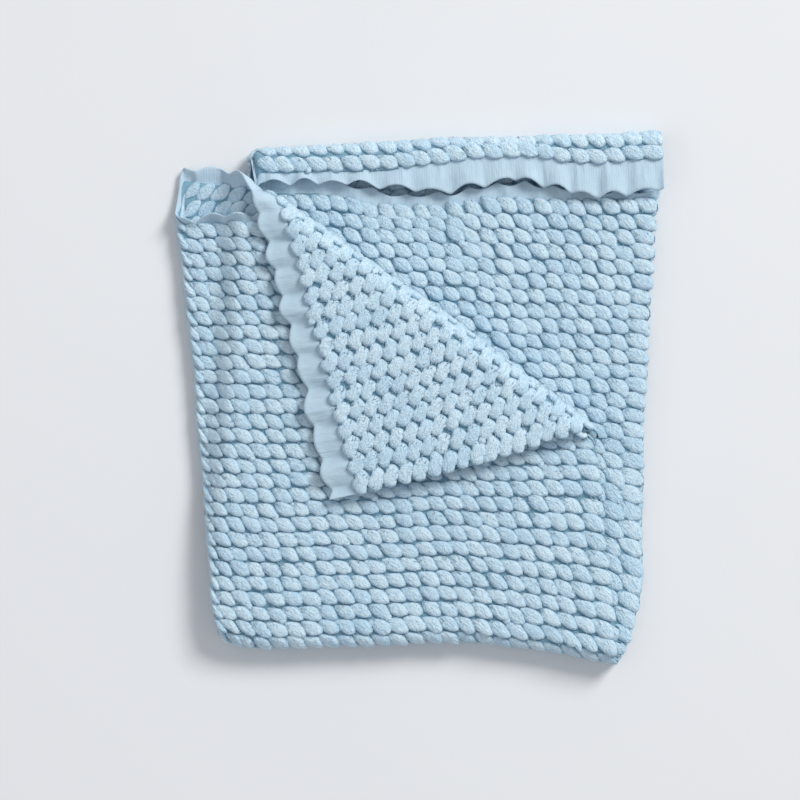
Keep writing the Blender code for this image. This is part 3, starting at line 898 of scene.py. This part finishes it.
def puff_material():
    """Brushed cotton puffs: mottled pale fibres on top, a painted shade of deeper blue down their sides,
    crumpled all over.
    """
    nodes = Nodes("puff_cotton")
    cloth = nodes.attribute("cloth").outputs["Vector"]
    up = nodes.attribute("up").outputs["Fac"]
    tone = nodes.attribute("tone").outputs["Fac"]
    inputs = {"Vector": cloth, "Scale": (1.0, STRAND_STRETCH, 1.0)}
    stretched = nodes.add("ShaderNodeMapping", inputs, vector_type="TEXTURE")
    stretched.inputs["Rotation"].default_value = (0.0, 0.0, np.radians(STRAND_ANGLE))
    strands = nodes.noise(stretched.outputs["Vector"], STRAND_CELLS)
    fuzz = nodes.noise(cloth, FUZZ_CELLS, 2.0)
    mottled = nodes.math("MULTIPLY", strands, MOTTLE_SHARES["strands"])
    mottled = nodes.add_share(mottled, fuzz, MOTTLE_SHARES["fuzz"])
    mottled = nodes.add_share(mottled, tone, MOTTLE_SHARES["tone"])
    top = nodes.mix(nodes.ramp(mottled, *MOTTLE_RANGE), PUFF_MIDDLE, PUFF_PALE)
    # Painted shade: deeper blue low on each puff's sides, fading into the mottled top
    colour = nodes.mix(nodes.ramp(up, *PAINTED_SHADE_RANGE), PUFF_PAINTED_SHADE, top)
    relief = nodes.math("MULTIPLY", strands, RELIEF_SHARES["strands"])
    relief = nodes.add_share(relief, fuzz, RELIEF_SHARES["fuzz"])
    return soft_cotton(nodes, colour, relief, PUFF_RELIEF)


def ground_material():
    """The cloth at the bottom of the pits between the puffs, coloured deeper blue than the puffs as painted
    shade of the pits, in uneven patches.
    """
    nodes = Nodes("ground_cotton")
    cloth = nodes.attribute("cloth").outputs["Vector"]
    # Painted shade of the pits, in uneven patches
    colour = nodes.mix(nodes.noise(cloth, GROUND_PATCH_CELLS), *GROUND_SHADE_COLOURS)
    return soft_cotton(nodes, colour, nodes.noise(cloth, GROUND_GRAIN_CELLS), GROUND_RELIEF)


def hem_material():
    """Plain weave: fine threads both ways, with cross creases from the gathering."""
    nodes = Nodes("hem_cotton")
    cloth = nodes.attribute("cloth").outputs["Vector"]
    threads = []
    for bands_direction, cells in THREAD_CELLS.items():
        inputs = {"Vector": cloth, "Scale": cells, **THREAD_WARP}
        wave = nodes.add("ShaderNodeTexWave", inputs, bands_direction=bands_direction)
        threads.append(wave.outputs["Fac"])
    weave = nodes.add_share(threads[0], threads[1], THREAD_SHARE)
    stretch = nodes.add("ShaderNodeMapping", {"Vector": cloth, "Scale": (1.0, CREASE_STRETCH, 1.0)})
    creases = nodes.noise(stretch.outputs["Vector"], CREASE_CELLS, 3.0, CREASE_ROUGHNESS)
    relief = nodes.add_share(creases, weave, WEAVE_RELIEF_SHARE)
    patches = nodes.add_share(nodes.noise(cloth, HEM_PATCH_CELLS), weave, WEAVE_COLOUR_SHARE)
    return soft_cotton(nodes, nodes.mix(patches, *HEM_COLOURS), relief, HEM_RELIEF)


def floor_material():
    """Pale cool studio surface."""
    nodes = Nodes("studio_surface")
    place_in_room = nodes.add("ShaderNodeTexCoord").outputs["Object"]
    colour = nodes.mix(nodes.noise(place_in_room, FLOOR_CELLS), *FLOOR_COLOURS)
    nodes.feed(nodes.shader.inputs["Base Color"], colour)
    nodes.shader.inputs["Roughness"].default_value = FLOOR_ROUGHNESS
    nodes.shader.inputs["Specular IOR Level"].default_value = FLOOR_SPECULAR
    return nodes.material


def seen_front(w, v):
    """Puffs of the front panel that the flap leaves in sight."""
    _, _, _, flap = fold_cloth(w, v)
    return flap < FRONT_TURN


def seen_side(w, v):
    """Puffs of the inner leg's lower half that lie past the flap's fold."""
    middle, _, _, _ = fold_cloth(w, v)
    return (past_flap(middle) > SIDE_PAST_FLAP) | (middle[:, 0] > SIDE_PAST_CORNER)


def seen_flap(w, v):
    """Puffs of the turned flap, and those near the upper edge and the selvedge."""
    _, _, _, flap = fold_cloth(w, v)
    near_selvedge = (w > SELVEDGE_SEEN) & (v > SELVEDGE_SEEN_ROWS)
    return (flap > FOLD_TURN) | (v > UPPER_EDGE) | near_selvedge


def seen_band(w, v):
    """Puffs of the band at the upper edge and of its fold."""
    _, _, band, _ = fold_cloth(w, v)
    return band > FOLD_TURN


def seen_inside(leg, half, w, v):
    """Puffs on the inner face that show past the front panel's standing hem."""
    if (leg, half) != ("p", "upper"):
        return np.zeros(len(w), dtype=bool)
    return (v > INSIDE_SEEN_ROWS) & (w < INSIDE_SEEN)


LEG_HALVES = (
    ("q", "upper", seen_front),
    ("p", "lower", seen_side),
    ("p", "upper", seen_flap),
    ("q", "lower", seen_band),
)


def leg_puffs(leg, half, exposed, material):
    """The puffs, nubs and fibres of one leg and half, plainer where they are covered."""
    w, v, _ = puff_places(leg, half)
    seen = exposed(w, v)
    label = "puffs_" + leg + "_" + half
    style = OPEN if (leg, half) == ("p", "upper") else PLUMP
    pieces = []
    for part in range(EXPOSED_PARTS):
        share = seen & (np.arange(len(w)) % EXPOSED_PARTS == part)
        name = label + "_" + str(part)
        pieces.append(puffs(name, leg, half, "outer", share, EXPOSED_GRID, material, style))
    few = seen & (np.random.default_rng(SEED).uniform(0.0, 1.0, len(w)) < NUB_SHARE)
    pieces.append(puffs(label + "_nubs", leg, half, "outer", few, NUB_GRID, material, NUB))
    pieces.append(fibres(label + "_fibres", leg, half, seen, material, style))
    pieces.append(puffs(label + "_covered", leg, half, "outer", ~seen, COVERED_GRID, material))
    inside = seen_inside(leg, half, w, v)
    pieces.append(puffs(label + "_inner", leg, half, "inner", ~inside, COVERED_GRID, material))
    if inside.any():
        pieces.append(puffs(label + "_end", leg, half, "inner", inside, EXPOSED_GRID, material))
    return pieces


def build_blanket():
    """All of the blanket's pieces, each attached to the root body, with the CAD sheet hidden."""
    ground = ground_cloth(ground_material())
    hem = hem_material()
    pieces = [hem_strip("lower", hem), hem_strip("upper", hem)]
    plump = puff_material()
    for leg, half, exposed in LEG_HALVES:
        pieces += leg_puffs(leg, half, exposed, plump)
    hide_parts("blanket")


def build_stage():
    """A pale surface to lie on."""
    bpy.ops.mesh.primitive_plane_add(size=FLOOR_SIZE, location=(0.0, 0.0, 0.0))
    floor = bpy.context.object
    floor.name = "studio_floor"
    floor.data.materials.append(floor_material())


def add_light(name, at, size, power, colour):
    """A square soft light aimed at the blanket."""
    data = bpy.data.lights.new(name, "AREA")
    data.shape = "SQUARE"
    data.size = size
    data.energy = power
    data.color = colour
    light = bpy.data.objects.new(name, data)
    light.location = at
    light.rotation_mode = "QUATERNION"
    light.rotation_quaternion = (-Vector(at)).to_track_quat("-Z", "Y")
    bpy.context.scene.collection.objects.link(light)


def build_light():
    """Soft window light from the upper right and a pale room around it."""
    add_light("window", **WINDOW)
    add_light("fill", **FILL)
    world = bpy.data.worlds.new("room")
    world.use_nodes = True
    background = world.node_tree.nodes["Background"]
    background.inputs["Color"].default_value = ROOM_COLOUR
    background.inputs["Strength"].default_value = ROOM_STRENGTH
    bpy.context.scene.world = world
    bpy.context.scene.view_settings.view_transform = "Standard"


def build_camera():
    """A camera straight above, whose picture is as wide as the photograph's."""
    data = bpy.data.cameras.new("camera")
    data.sensor_width = SENSOR
    data.lens = SENSOR * CAMERA_HEIGHT / VIEW_WIDTH
    camera = bpy.data.objects.new("camera", data)
    camera_x = PICTURE_CENTRE[0] + PLAN_SHIFT[0] * METRE
    camera_y = PICTURE_CENTRE[1] + PLAN_SHIFT[1] * METRE
    camera.location = (camera_x, camera_y, CAMERA_HEIGHT)
    bpy.context.scene.collection.objects.link(camera)
    bpy.context.scene.camera = camera


build_blanket()
build_stage()
build_light()
build_camera()
